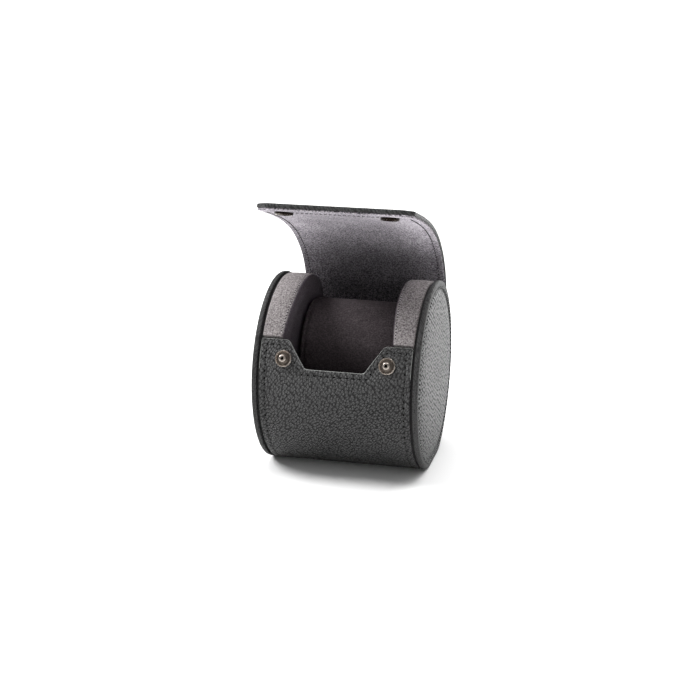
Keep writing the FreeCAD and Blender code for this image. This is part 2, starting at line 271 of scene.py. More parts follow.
def linear(code):
    """An sRGB hex colour as linear values."""
    parts = [int(code[place:place + 2], 16) / 255 for place in (1, 3, 5)]
    return [part / 12.92 if part <= 0.04045 else ((part + 0.055) / 1.055) ** 2.4 for part in parts] + [1]


def feed(tree, node, **sockets):
    """Gives inputs of a node a value or a link, each by its label or as in0, in1 and so on."""
    for name, value in sockets.items():
        label = name.replace("_", " ")
        index = int(label[2:]) if label.startswith("in") and label[2:].isdigit() else label
        if isinstance(value, bpy.types.NodeSocket):
            tree.links.new(value, node.inputs[index])
        else:
            node.inputs[index].default_value = value


def add(tree, kind, settings=None, **sockets):
    """Adds a node, with its settings and its inputs."""
    node = tree.nodes.new("ShaderNode" + kind)
    for name, value in (settings or {}).items():
        setattr(node, name, value)
    feed(tree, node, **sockets)
    return node


def reckon(tree, operation, *values):
    """A sum with numbers or sockets."""
    sockets = {f"in{place}": value for place, value in enumerate(values)}
    return add(tree, "Math", {"operation": operation}, **sockets).outputs[0]


def scaled(tree, vector, factor):
    """A vector or colour times a factor."""
    return add(tree, "VectorMath", {"operation": "SCALE"}, in0=vector, Scale=factor).outputs[0]


def graded(tree, value, low, high, first=0.0, last=1.0, kind="LINEAR"):
    """A value between two limits, carried over to two others."""
    node = add(tree, "MapRange", {"interpolation_type": kind}, Value=value,
               From_Min=low, From_Max=high, To_Min=first, To_Max=last)
    return node.outputs["Result"]


def noise(tree, place, size, detail=2.0, roughness=0.5):
    """Random clouds of a size, from 0 to 1."""
    node = add(tree, "TexNoise", Vector=place, Scale=1 / size, Detail=detail, Roughness=roughness)
    return node.outputs["Fac"]


def bumped(tree, height, strength, distance):
    """The normal of a surface with small heights on it."""
    return add(tree, "Bump", Height=height, Strength=strength, Distance=distance).outputs["Normal"]


def ramp(tree, factor, stops):
    """A colour ramp with its stops at given places."""
    node = add(tree, "ValToRGB", Fac=factor)
    while len(node.color_ramp.elements) < len(stops):
        node.color_ramp.elements.new(0.5)
    for element, (place, code) in zip(node.color_ramp.elements, stops):
        element.position = place
        element.color = linear(code)
    return node.outputs["Color"]


def own_place(tree):
    return add(tree, "TexCoord").outputs["Object"]


def start_material(name):
    material = bpy.data.materials.new(name)
    material.use_nodes = True
    tree = material.node_tree
    tree.nodes.clear()
    shader = add(tree, "BsdfPrincipled")
    surface = add(tree, "OutputMaterial")
    tree.links.new(shader.outputs["BSDF"], surface.inputs["Surface"])
    return material, tree, shader


def mottled(name, dark, light, size, detail, roughness, shine=0.5):
    """A plain finish with faint clouds between two tones."""
    material, tree, shader = start_material(name)
    clouds = noise(tree, own_place(tree), size, detail)
    colour = ramp(tree, clouds, [(0.3, dark), (0.7, light)])
    feed(tree, shader, Base_Color=colour, Roughness=roughness, Specular_IOR_Level=shine)
    return material


def pebbled_leather(name, crown, tone, crease_shade, pebble, stretch, net, height, roughness, shine=0.45):
    """Drum-milled calf leather: leaning oval pebbles, fine pores and a low waxy shine, with painted shade in
    the creases and painted light on the crowns.
    """
    material, tree, shader = start_material(name)
    flat = add(tree, "UVMap", {"uv_map": "pattern"}).outputs["UV"]
    moved = flat
    for reach, wander in ((6 * mm, 0.6), (1.6 * mm, 0.3)):
        drift = add(tree, "TexNoise", Vector=flat, Scale=1 / reach, Detail=2.0).outputs["Color"]
        step = add(tree, "VectorMath", {"operation": "SUBTRACT"}, in0=drift, in1=(0.5, 0.5, 0.5)).outputs[0]
        step = scaled(tree, step, pebble * wander)
        moved = add(tree, "VectorMath", {"operation": "ADD"}, in0=moved, in1=step).outputs[0]
    pulled = add(tree, "Mapping", Vector=moved, Scale=(1 / stretch, 1.0, 1.0)).outputs[0]
    leaned = add(tree, "Mapping", {"vector_type": "TEXTURE"}, Vector=pulled,
                 Rotation=(0, 0, math.radians(52)), Scale=(1.35, 0.85, 1.0)).outputs[0]
    from_crease, from_middle = [
        add(tree, "TexVoronoi", {"feature": feature, "voronoi_dimensions": "2D"},
            Vector=leaned, Scale=1 / pebble, Randomness=0.78).outputs["Distance"]
        for feature in ("DISTANCE_TO_EDGE", "F1")
    ]
    ridge = reckon(tree, "POWER", graded(tree, from_crease, 0.0, 0.36), 0.7)
    bulge = graded(tree, from_middle, 0.2, 0.74, 1.0, 0.0, "SMOOTHSTEP")
    dome = reckon(tree, "MULTIPLY_ADD", ridge, net, reckon(tree, "MULTIPLY", bulge, 1 - net))
    uneven = reckon(tree, "MULTIPLY_ADD", noise(tree, flat, 2.4 * mm), 0.3, dome)
    pores = noise(tree, flat, 0.5 * mm, roughness=0.6)
    painted_relief = reckon(tree, "SUBTRACT", uneven, 0.15)
    # The colour follows the relief: painted shade in the creases and painted light on the crowns.
    colour = ramp(tree, painted_relief, [(0.18, crease_shade), (0.52, tone), (0.9, crown)])
    shade = graded(tree, noise(tree, flat, 16 * mm, 3.0), 0.3, 0.7, 0.86, 1.14)
    gloss = graded(tree, dome, 0.3, 1.0, roughness + 0.2, roughness - 0.04)
    grain = bumped(tree, reckon(tree, "MULTIPLY_ADD", pores, 0.16, uneven), 1.0, height)
    feed(tree, shader, Base_Color=scaled(tree, colour, shade), Roughness=gloss, Normal=grain)
    feed(tree, shader, IOR=1.48, Specular_IOR_Level=shine)
    return material


# The crease colour here is painted shade and the crown colour painted light.
graphite_leather = pebbled_leather(
    "graphite_pebbled_calf", "#3b3b3b", "#232323", "#040404",
    pebble=1.4 * mm, stretch=1.0, net=0.3, height=0.7 * mm, roughness=0.46,
)

# The rims of the ears and the notch are burnished smooth; their paler colour is a painted highlight, where
# they catch the light from above.
edge_painted_highlight = mottled("burnished_leather_edge", "#6d6f6d", "#989a97", 1.5 * mm, 3.0, roughness=0.42)

wrap_outline = eared_outline(-wrap_overrun, wrap_length, 0)
wrap_leather = cut_panel("wrap_leather", wrap_outline, wrap_thick, wrap_rim, seam_line(seam_in, wrap_rim))
trim(wrap_leather, hinge_lap, None)
score(wrap_leather, roll_step)
dress(wrap_leather, graphite_leather, edge_painted_highlight)
# The rim faces at the ears and the notch take the painted highlight.
for face in wrap_leather.data.polygons:
    in_front = face.center.y > wrap_length - notch_deep - highlight_back
    if in_front and abs(face.normal.x) < 0.97 and face.normal.z < 0.8:
        face.material_index = 1
lay(wrap_leather, on_wrap)
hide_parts("body_leather")
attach(wrap_leather, "case")


# Wrap stitching
# Waxed thread of the leather's own colour, lock-stitched by machine at about seven stitches to 25 mm. It
# runs up each side, round the ears and along the notch. Each needle hole is a dark dot of painted shade in the
# pulled line.

thread_radius = 0.27 * mm
thread_share = 0.62
thread_lift = -0.24 * mm
hole_radius = 0.5 * mm
hole_deep = 0.16 * mm
wrap_pitch = 3.4 * mm
ear_seam = 26.0 * mm
notch_seam = 16.6 * mm


def twisted_thread(name, tone, dark):
    """Waxed polyester thread: two plies, seen as a slanting twist, with a slight shine."""
    material, tree, shader = start_material(name)
    twist = add(tree, "TexWave", {"wave_type": "BANDS", "bands_direction": "DIAGONAL"},
                Vector=own_place(tree), Scale=1 / (0.5 * mm) / 6.28, Distortion=1.5).outputs["Fac"]
    colour = ramp(tree, twist, [(0.2, dark), (0.8, tone)])
    feed(tree, shader, Base_Color=colour, Roughness=0.55, Normal=bumped(tree, twist, 0.5, 0.08 * mm))
    return material


# The needle hole's shade is painted: matt and almost black, with faint clouds in its tone.
needle_hole = mottled("needle_hole", "#020202", "#080808", 0.5 * mm, 2.0, roughness=1.0, shine=0.0)


def model_stitch(pitch, thread, hole, radius):
    """One stitch along Y: a bow of thread whose ends dive into the leather, and the hole that follows it,
    painted dark as shade.
    """
    bpy.ops.mesh.primitive_uv_sphere_add(segments=6, ring_count=5, radius=1)
    bow = bpy.context.object
    dress(bow, thread)
    half = pitch * thread_share / 2
    open_mesh()
    bpy.ops.transform.rotate(value=math.pi / 2, orient_axis="X", center_override=(0, 0, 0))
    bpy.ops.transform.resize(value=(radius, half, radius), center_override=(0, 0, 0))
    pick(bow, "VERT", lambda vertex: abs(vertex.co.y) > 0.7 * half)
    bpy.ops.transform.translate(value=(0, 0, -0.5 * radius))
    close_mesh()
    bpy.ops.mesh.primitive_uv_sphere_add(segments=8, ring_count=4, radius=1)
    hole_shade_pit = bpy.context.object
    dress(hole_shade_pit, needle_hole)
    open_mesh()
    bpy.ops.transform.resize(value=(hole, hole, hole_deep), center_override=(0, 0, 0))
    bpy.ops.transform.translate(value=(0, pitch / 2, 0))
    close_mesh()
    only(bow)
    hole_shade_pit.select_set(True)
    bpy.ops.object.join()
    return bow


def twin(piece, name):
    """A copy of a piece, with a mesh of its own."""
    other = piece.copy()
    other.data = piece.data.copy()
    other.name = name
    bpy.context.scene.collection.objects.link(other)
    return other


def join(pieces):
    """Joins pieces into the first of them."""
    only(pieces[0])
    for piece in pieces:
        piece.select_set(True)
    bpy.ops.object.join()
    return pieces[0]


def sew(name, stitch, path, pitch, lift):
    """A row of one stitch's copies along each straight run of a path over a flat pattern, at a height."""
    rows = []
    for first, second in zip(path, path[1:]):
        run = Vector(second) - Vector(first)
        count = max(1, round(run.length / pitch))
        row = twin(stitch, name)
        only(row)
        bpy.ops.object.modifier_add(type="ARRAY")
        copies = row.modifiers[0]
        copies.use_relative_offset = False
        copies.use_constant_offset = True
        copies.constant_offset_displace = (0, run.length / count, 0)
        copies.count = count
        bpy.ops.object.modifier_apply(modifier=copies.name)
        begin = Matrix.Translation((first[0], first[1], lift))
        turn = Matrix.Rotation(math.atan2(-run.x, run.y), 4, "Z")
        row.data.transform(begin @ turn @ Matrix.Translation((0, run.length / count / 2, 0)))
        rows.append(row)
    return join(rows)


graphite_thread = twisted_thread("graphite_waxed_thread", "#303030", "#141414")
wrap_stitch = model_stitch(wrap_pitch, graphite_thread, hole_radius, thread_radius)
side_seam = wrap_half - seam_in
top_seam = wrap_length - seam_in
wrap_path = [
    (-side_seam, hinge_lap), (-side_seam, top_seam), (-ear_seam, top_seam),
    (-notch_seam, top_seam - notch_deep), (notch_seam, top_seam - notch_deep),
    (ear_seam, top_seam), (side_seam, top_seam), (side_seam, hinge_lap),
]
wrap_stitching = sew("wrap_stitching", wrap_stitch, wrap_path, wrap_pitch, thread_lift)
lay(wrap_stitching, on_wrap, 60)
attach(wrap_stitching, "case")


# Wrap lining and board
# The inside of the roll is charcoal suede, glued over a bookbinder's board that keeps the roll round. Both are
# one panel here, whose rim shows as a thin dark line inside the ears and the notch.

inner_wall = 3.4 * mm
lining_deep = 2.0 * mm
lining_soft = 0.35 * mm
lining_tail = 0.5 * mm
lining_short = 0.3 * mm
lining_clear = 0.2 * mm


def suede(name, light, tone, dark, fleck, sheen, light_and_shade_painted=False):
    """Split-leather suede: a matt nap with brushed clouds, and flecks where the fibres part. On the lid the
    colour is pale towards the front and the sides, painted light, and dark in the middle, painted shade."""
    material, tree, shader = start_material(name)
    place = own_place(tree)
    clouds = noise(tree, place, 24 * mm, 4.0, 0.6)
    flecks = noise(tree, place, 0.75 * mm, 2.0, 0.6)
    fibre = noise(tree, place, 0.3 * mm, 2.0, 0.7)
    mix = reckon(tree, "MULTIPLY_ADD", clouds, 0.5, 0.25)
    mix = reckon(tree, "MULTIPLY_ADD", reckon(tree, "SUBTRACT", flecks, 0.5), fleck, mix)
    colour = ramp(tree, mix, [(0.2, dark), (0.5, tone), (0.8, light)])
    # Painted light towards the lid's front and sides, painted shade in its middle.
    if light_and_shade_painted:
        flat = add(tree, "UVMap", {"uv_map": "pattern"}).outputs["UV"]
        flat = add(tree, "SeparateXYZ", Vector=flat)
        aside = reckon(tree, "ABSOLUTE", flat.outputs["X"])
        front = graded(tree, flat.outputs["Y"], -42 * mm, -84 * mm, 0.55, 1.5, "SMOOTHSTEP")
        flank = graded(tree, aside, 14 * mm, 37 * mm, 1.0, 1.5, "SMOOTHSTEP")
        colour = scaled(tree, colour, reckon(tree, "MULTIPLY", front, flank))
    nap = bumped(tree, reckon(tree, "MULTIPLY_ADD", fibre, 0.5, flecks), 0.6, 0.28 * mm)
    feed(tree, shader, Base_Color=colour, Roughness=0.95, Normal=nap, Specular_IOR_Level=0.1)
    feed(tree, shader, Sheen_Weight=sheen, Sheen_Roughness=0.4, Sheen_Tint=linear(light))
    return material


charcoal_suede = suede("charcoal_suede", "#454146", "#312e33", "#1f1c21", fleck=0.8, sheen=0.1)

lining_sheet = eared_outline(lining_tail, wrap_length - lining_short, lining_clear)
wrap_lining = cut_panel("wrap_lining", lining_sheet, lining_deep, lining_soft, [])
score(wrap_lining, roll_step)
lay(wrap_lining, lambda x, along, out: on_wrap(x, along, -inner_wall - out))
dress(wrap_lining, charcoal_suede)
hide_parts("body_lining", "body_board")
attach(wrap_lining, "case")


# End discs
# Each end is a board disc with thin padding, faced with pebbled leather. A band of smoother leather is
# turned over its edge and sewn down in a ring, and black tape lies at the bottom of the groove by the wrap.

disc_start = 39.75 * mm
disc_steps = 240
rim_tall = 2.65 * mm
rim_seam = 3.5 * mm
rim_round = 1.1 * mm
rim_back_round = 0.5 * mm
rim_border = 4.35 * mm
face_low = 1.45 * mm
face_start = 2.1 * mm
face_round = 0.25 * mm
face_lap = 0.05 * mm
ring_pitch = 2.6 * mm
ring_hole = 0.55 * mm
ring_thread = 0.3 * mm
ring_lift = 0.04 * mm
top_lead = case_radius * hinge_angle
outline_run = 2 * (case_radius * corner_lean + corner_run + corner_y)
rim_rounds = [(0, rim_back_round, 3), (rim_tall, rim_round, 5)]
face_rounds = [(face_start, face_round, 2)]
rim_steps = [
    (rim_seam - rim_round - 0.35 * mm, 0), (0.35 * mm, -0.12 * mm), (0.35 * mm, 0.06 * mm),
    (0.3 * mm, -0.24 * mm), (0.15 * mm, -0.4 * mm), (0.05 * mm, face_low - rim_tall + 0.7 * mm),
]
face_steps = [
    (0.25 * mm, -0.04 * mm), (0.3 * mm, -0.04 * mm), (0.35 * mm, 0.1 * mm), (0.5 * mm, 0.28 * mm),
    (0.9 * mm, 0.3 * mm), (1.4 * mm, 0.32 * mm), (2.2 * mm, 0.36 * mm), (3.0 * mm, 0.26 * mm),
    (4.0 * mm, 0.14 * mm),
]
crown_steps = [(0.8, 0.05 * mm), (0.7, 0.03 * mm), (0.6, 0.02 * mm), (0.4, 0.01 * mm), (0.2, 0.01 * mm)]


def disc_outline(inset):
    """The roll's full outline with its flat base, pulled in by an inset, seen from its end."""
    places = [wrap_spot(step / disc_steps * outline_run - top_lead, -inset) for step in range(disc_steps)]
    return [(y, z - axis_height) for y, z in places]


def build_disc(name, inset, low, high, roundings, steps):
    """A disc between two heights, with rims rounded and its face pressed in steps, left in edit mode."""
    disc = cut_blank(name, disc_outline(inset), high - low)
    bpy.ops.mesh.select_all(action="SELECT")
    bpy.ops.transform.translate(value=(0, 0, high))
    for height, rounding, segments in roundings:
        round_rim(disc, height, rounding, segments)
    press(disc, high, steps)
    return disc


def on_end(side):
    """Turns a flat disc, drawn with y to the right and z up, to stand at one end of the roll."""
    return lambda y, z, out: (side * (disc_start + out), y, axis_height + z)


def along_ring(side):
    """Lays a straight row round the end disc, at the inset of its sewn ring."""
    def place(x, along, out):
        return (side * (disc_start + rim_tall + out), *wrap_spot(along - top_lead, x - rim_seam))
    return place


rim_leather = pebbled_leather(
    "graphite_smooth_edge_leather", "#363636", "#303030", "#1e1e1e",
    pebble=1.0 * mm, stretch=1.0, net=0.5, height=0.08 * mm, roughness=0.56, shine=0.3,
)
# The end faces use a paler copy of the wrap's graphite leather: painted light.
face_leather = pebbled_leather(
    "graphite_pebbled_end_leather", "#5c5c5c", "#373737", "#060606",
    pebble=1.35 * mm, stretch=1.3, net=0.35, height=0.7 * mm, roughness=0.46,
)
silver_thread = twisted_thread("silver_grey_thread", "#8a8c8b", "#4a4b4b")
ring_stitch = model_stitch(ring_pitch, silver_thread, ring_hole, ring_thread)
ring_row = sew("ring_row", ring_stitch, [(0, 0), (0, outline_run)], ring_pitch, ring_lift)

for side, name in ((-1, "left"), (1, "right")):
    end_rim = build_disc("end_rim_leather_" + name, 0, 0, rim_tall, rim_rounds, rim_steps)
    close_mesh()
    lay(end_rim, on_end(side), 50)
    dress(end_rim, rim_leather)
    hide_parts("end_rim_" + name, "end_board_" + name)
    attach(end_rim, "case")

    end_face = build_disc("end_face_leather_" + name, rim_border - face_lap, face_low, face_start,
                          face_rounds, face_steps)
    for share, rise in crown_steps:
        bpy.ops.mesh.extrude_region_move(TRANSFORM_OT_translate={"value": (0, 0, rise)})
        bpy.ops.transform.resize(value=(share, share, 1), center_override=(0, 0, 0))
    close_mesh()
    lay(end_face, on_end(side), 50)
    dress(end_face, face_leather)
    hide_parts("end_face_" + name, "end_foam_" + name)
    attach(end_face, "case")

    end_stitching = twin(ring_row, "end_stitching_" + name)
    lay(end_stitching, along_ring(side), 60)
    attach(end_stitching, "case")

bpy.data.objects.remove(ring_row)
black_tape = mottled("black_edge_tape", "#060606", "#101010", 0.6 * mm, 2.0, roughness=0.8)
for name in ("left", "right"):
    dress(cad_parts["groove_tape_" + name], black_tape)


# Cheeks
# Two foam pads stand at the sides of the bay. A band of light grey suede goes over the foam from the ears to
# the hinge. It is sewn near its inner edge to a darker suede facing, which the foam presses in near the top.

cheek_inner = 28.0 * mm
cheek_wide = 10.45 * mm
band_radius = 48.1 * mm
band_forward = 0.5 * mm
band_raise = 0.4 * mm
band_start = math.radians(-57.7)
band_end = math.radians(60)
band_fade = math.radians(1.2)
wall_inset = 3.45 * mm
cheek_swell = 2.3 * mm
swell_rise = math.radians(42)
swell_fall = math.radians(30)
swell_drop = 16 * mm
swell_fade = 8 * mm
cheek_pitch = 1.7 * mm
cheek_hole = 0.3 * mm
cheek_thread = 0.24 * mm
cheek_lift = -0.1 * mm
cheek_seam = 1.3 * mm
cheek_row_start = math.radians(-55)
cheek_row_end = math.radians(57)
cheek_steps = 300
pad_profile = [
    (0.0, 2.2), (0.0, 0.7), (0.15, 0.3), (0.5, 0.08), (1.05, 0.0), (2.95, -0.1), (5.45, -0.14),
    (7.45, -0.08), (8.45, 0.0), (8.9, 0.1), (9.15, 0.17), (9.4, 0.12), (9.7, 0.2), (9.95, 0.42),
    (10.1, 0.75), (10.1, 2.2), (6.0, 3.0),
]
facing_profile = [(9.5, 1.3), (9.85, 0.5), (10.1, 0.4), (10.32, 0.52), (10.45, 0.85), (10.45, 1.6)]
facing_profile += [(10.45, drop) for drop in range(3, 18, 2)]


def clamped(share):
    return min(1, max(0, share))


def eased(share):
    """A share between 0 and 1, with a soft start and end."""
    share = clamped(share)
    return share * share * (3 - 2 * share)


def cheek_reach(angle):
    """The pad's outer radius at an angle from the top: proud of the roll in the opening, else inside it."""
    centre = -band_forward * math.sin(angle) + band_raise * math.cos(angle)
    proud = centre + math.sqrt(band_radius ** 2 - band_forward ** 2 - band_raise ** 2 + centre ** 2)
    wall = case_radius - wall_inset
    low = axis_height - wall_inset
    if -math.cos(angle) * wall > low:
        wall = min(wall, -low / math.cos(angle))
    inside = min(angle - band_start, band_end - angle)
    return wall + (proud - wall) * clamped(inside / band_fade)


def swell(angle, drop):
    """How far the foam presses the facing in: nothing at the ears and the cushion, most near the top."""
    climb = clamped((angle - band_start) / swell_rise)
    fall = clamped((band_end - angle) / swell_fall)
    return cheek_swell * math.sin(climb * math.pi / 2) * fall * eased((swell_drop - drop) / swell_fade)


def on_cheek(side):
    """Stands a pad, built up from its outer side inwards, in its place at one side of the bay."""
    def place(y, z, width):
        angle = math.atan2(y, z)
        inward = width / cheek_wide
        drop = cheek_reach(angle) - math.hypot(y, z)
        return (side * (cheek_inner + cheek_wide - width - swell(angle, drop) * inward), y, axis_height + z)
    return place


def along_band(side):
    """Lays a straight row over the band, by its distances in from the inner edge and round from the top."""
    def place(x, along, out):
        angle = along / band_radius
        reach = cheek_reach(angle) + out
        inner = cheek_inner + x - swell(angle, 0) * (1 - x / cheek_wide)
        return (side * inner, reach * math.sin(angle), axis_height + reach * math.cos(angle))
    return place


def build_cheek(name, profile):
    """A body with the pad's outline, drawn out through the steps of a profile: widths and drops in mm."""
    bpy.ops.mesh.primitive_circle_add(vertices=cheek_steps, radius=1, fill_type="NGON")
    body = bpy.context.object
    body.name = name
    width, drop = profile[0]
    for step, vertex in enumerate(body.data.vertices):
        angle = -math.pi + 2 * math.pi * step / cheek_steps
        reach = cheek_reach(angle) - drop * mm
        vertex.co = (reach * math.sin(angle), reach * math.cos(angle), width * mm)
    open_mesh()
    for after, lower in profile[1:]:
        share = (band_radius - lower * mm) / (band_radius - drop * mm)
        bpy.ops.mesh.extrude_region_move(TRANSFORM_OT_translate={"value": (0, 0, (after - width) * mm)})
        bpy.ops.transform.resize(value=(share, share, 1), center_override=(0, 0, after * mm))
        width, drop = after, lower
    close_mesh()
    return body


ash_suede = suede("ash_grey_suede", "#9f9a9a", "#7f7a7a", "#4e494b", fleck=1.6, sheen=0.1)
mauve_suede = suede("dark_mauve_suede", "#6c666b", "#544e53", "#383338", fleck=0.9, sheen=0.1)
ash_thread = twisted_thread("ash_grey_thread", "#b4afb1", "#7a7577")
cheek_stitch = model_stitch(cheek_pitch, ash_thread, cheek_hole, cheek_thread)
cheek_path = [(cheek_seam, band_radius * cheek_row_start), (cheek_seam, band_radius * cheek_row_end)]
cheek_row = sew("cheek_row", cheek_stitch, cheek_path, cheek_pitch, cheek_lift)

for side, name in ((-1, "left"), (1, "right")):
    cheek_pad = build_cheek("cheek_pad_" + name, pad_profile)
    lay(cheek_pad, on_cheek(side), 60)
    dress(cheek_pad, ash_suede)
    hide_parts("cheek_band_" + name, "cheek_foam_" + name)
    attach(cheek_pad, "case")

    cheek_facing = build_cheek("cheek_inner_facing_" + name, facing_profile)
    lay(cheek_facing, on_cheek(side), 60)
    dress(cheek_facing, mauve_suede)
    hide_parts("cheek_facing_" + name)
    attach(cheek_facing, "case")

    cheek_stitching = twin(cheek_row, "cheek_stitching_" + name)
    lay(cheek_stitching, along_band(side), 60)
    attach(cheek_stitching, "case")
bpy.data.objects.remove(cheek_row)


# Cushion
# The roll that fills the bay is a foam cylinder in a charcoal suede cover, with a sewn seam near each end.
# The foam presses the cover out between the seams, and it is flat only at its ends, between the cheeks.

cushion_radius = 28.0 * mm
cushion_half = 27.2 * mm
cushion_round = 2.5 * mm
cushion_y = 10 * mm
cushion_z = 53 * mm
cushion_voxel = 4 * mm
cushion_pressure = 4
cushion_frames = 20
cushion_give = 0.9 * mm
cushion_end = 26.2 * mm
cushion_seam = 23.8 * mm
cushion_pull = 0.8 * mm
pull_reach = 1.4 * mm
pull_cut_shares = (-1, -0.5, 0, 0.5, 1)
cover_inside = 20 * mm

bpy.ops.mesh.primitive_cylinder_add(vertices=96, radius=cushion_radius, depth=2 * cushion_half)
cushion = bpy.context.object
cushion.name = "cushion"
open_mesh()
bpy.ops.transform.rotate(value=math.pi / 2, orient_axis="Y", center_override=(0, 0, 0))
pick(cushion, "EDGE", lambda edge: abs(edge.verts[0].co.x - edge.verts[1].co.x) < 1e-6)
bpy.ops.mesh.bevel(offset=cushion_round, segments=4, affect="EDGES")
bpy.ops.mesh.select_all(action="SELECT")
bpy.ops.transform.translate(value=(0, cushion_y, cushion_z))
close_mesh()
cushion.data.remesh_voxel_size = cushion_voxel
bpy.ops.object.voxel_remesh()
start_spots = [vertex.co.copy() for vertex in cushion.data.vertices]
bpy.ops.object.modifier_add(type="CLOTH")
cloth = cushion.modifiers[0]
cloth.settings.use_pressure = True
cloth.settings.uniform_pressure_force = cushion_pressure
cloth.settings.effector_weights.gravity = 0
for step in range(1, cushion_frames + 1):
    bpy.context.scene.frame_set(step)
bpy.ops.object.modifier_apply(modifier=cloth.name)
bpy.context.scene.frame_set(1)
for vertex, start in zip(cushion.data.vertices, start_spots):
    move = vertex.co - start
    if move.length > cushion_give:
        vertex.co = start + move * (cushion_give / move.length)
    vertex.co.x = min(cushion_end, max(-cushion_end, vertex.co.x))
bpy.ops.object.modifier_add(type="SUBSURF")
cushion.modifiers[0].levels = 1
cushion.modifiers[0].render_levels = 1
bpy.ops.object.modifier_apply(modifier=cushion.modifiers[0].name)
open_mesh()
for side in (-1, 1):
    for share in pull_cut_shares:
        bpy.ops.mesh.select_all(action="SELECT")
        bpy.ops.mesh.bisect(plane_co=(side * cushion_seam + share * pull_reach, 0, 0), plane_no=(1, 0, 0))
close_mesh()
for vertex in cushion.data.vertices:
    share = abs(abs(vertex.co.x) - cushion_seam) / pull_reach
    radial = Vector((0, vertex.co.y - cushion_y, vertex.co.z - cushion_z))
    if share < 1 and radial.length > cover_inside:
        vertex.co -= radial.normalized() * (cushion_pull * (1 - share) ** 2)
settle(cushion, 60)
dress(cushion, suede("charcoal_cushion_suede", "#5c5557", "#443e40", "#2b2628", fleck=1.0, sheen=0.12))
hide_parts("cushion_cover", "cushion_core", "cushion_end_left", "cushion_end_right")
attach(cushion, "case")


# Lid leather
# The lid is the wrap's own leather, carried on past the hinge over thin boards, so that it bends as it
# closes. It is one flat panel, parted into six where its bends are taken up, with no step between parts.

lid_half = 39.2 * mm
lid_root = 38.45 * mm
lid_length = 145 * mm
lid_overrun = 25 * mm
lid_corner_in = 5.5 * mm
lid_corner_back = 5.0 * mm
lid_corner_round = 0.8 * mm
lid_top = 1.2 * mm
lid_thick = 2.2 * mm
lid_rim = 0.65 * mm
lid_seam = 3.3 * mm
lid_stations = [0, 28, 53, 78, 102, 123, 145]
lid_angles = [102.5, 71.5, 44.5, 28.5, 19.5, 16.5, 16.5]
lid_borders = [5 * mm, -14 * mm, -40.5 * mm, -65.5 * mm, -90 * mm, -112.5 * mm, None]
lid_last_bend = -129 * mm
hinge_ease = 15 * mm
shoulder_start = 14 * mm
shoulder_end = 18 * mm

lid_fine = 0.25 * mm
lid_run = 151 * mm
lid_steps = np.arange(0, lid_run, lid_fine)
lid_turns = np.radians(np.interp(lid_steps / mm, lid_stations, lid_angles))
hinge_reach = case_radius - wrap_thick
lid_y = hinge_reach * math.sin(hinge_angle) + np.cumsum(-np.cos(lid_turns)) * lid_fine
lid_z = axis_height + hinge_reach * math.cos(hinge_angle) + np.cumsum(np.sin(lid_turns)) * lid_fine


def lid_line(past):
    """The leather's inner face past the hinge: y, z and the direction's angle. Behind it, the wrap's."""
    if past <= -hinge_lap:
        angle = hinge_angle - past / case_radius
        return hinge_reach * math.sin(angle), axis_height + hinge_reach * math.cos(angle), angle
    if past >= hinge_lap:
        return tuple(float(np.interp(past, lid_steps, values)) for values in (lid_y, lid_z, lid_turns))
    first = lid_line(-hinge_lap)
    second = lid_line(hinge_lap)
    span = 2 * hinge_lap
    share = (past + hinge_lap) / span
    leads = [(-math.cos(angle) * span, math.sin(angle) * span) for angle in (first[2], second[2])]
    place = []
    slope = []
    for axis in (0, 1):
        a, b = first[axis], second[axis]
        m, n = leads[0][axis], leads[1][axis]
        place.append((2 * share ** 3 - 3 * share ** 2 + 1) * a + (share ** 3 - 2 * share ** 2 + share) * m
                     + (3 * share ** 2 - 2 * share ** 3) * b + (share ** 3 - share ** 2) * n)
        slope.append((6 * share ** 2 - 6 * share) * (a - b) + (3 * share ** 2 - 4 * share + 1) * m
                     + (3 * share ** 2 - 2 * share) * n)
    return place[0], place[1], math.atan2(slope[1], -slope[0])


def on_lid(x, along, out):
    """A place on the lid: the wrap's pattern carried on past the hinge, with distances along below zero."""
    y, z, angle = lid_line(-along)
    return (x, y + out * math.sin(angle), z + out * math.cos(angle))


def on_lid_leather(x, along, out):
    """The lid's leather: from the wrap's thickness at the hinge to a boarded panel with turned edges."""
    ease = eased((hinge_lap - along) / hinge_ease)
    top = wrap_thick + (lid_top - wrap_thick) * ease
    low = (lid_top - lid_thick) * ease
    return on_lid(x, along, low + (top - low) * (out + lid_thick) / lid_thick)


def bend_lid(piece, number):
    """Bakes a part of the lid's transform into its mesh; the places at its two borders are worked out but not
    used.
    """
    start = lid_borders[number]
    end = lid_borders[number + 1] if lid_borders[number + 1] is not None else lid_last_bend
    on_lid(0, start, 0)
    on_lid(0, end, 0)
    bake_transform(piece)


def part_lid(panel, name, first, place, step):
    """Parts a flat piece of the lid at the borders, from a first part on, and bends each to its place."""
    parts = []
    for number in range(first, 6):
        piece = twin(panel, f"{name}_{number + 1}")
        trim(piece, lid_borders[number + 1], lid_borders[number] if number > first or first == 0 else None)
        if step:
            score(piece, step)
        lay(piece, place)
        bend_lid(piece, number)
        parts.append((number, piece))
    bpy.data.objects.remove(panel)
    return parts


lid_outline = mirrored([
    (lid_half - lid_corner_in, -lid_length, lid_corner_round),
    (lid_half, lid_corner_back - lid_length, lid_corner_round),
    (lid_half, -shoulder_end, 0),
    (lid_root, -shoulder_start, 0),
    (lid_root, lid_overrun, 0),
])

# The leather is pared thin where it is turned over the lid's edge, and darker there: painted shade.
turned_edge = pebbled_leather(
    "graphite_turned_edge", "#2c2c2c", "#181818", "#020202",
    pebble=1.4 * mm, stretch=1.0, net=0.3, height=0.4 * mm, roughness=0.5,
)

lid_panel = cut_panel("lid_panel", lid_outline, lid_thick, lid_rim, seam_line(lid_seam, lid_rim))
dress(lid_panel, graphite_leather, turned_edge)
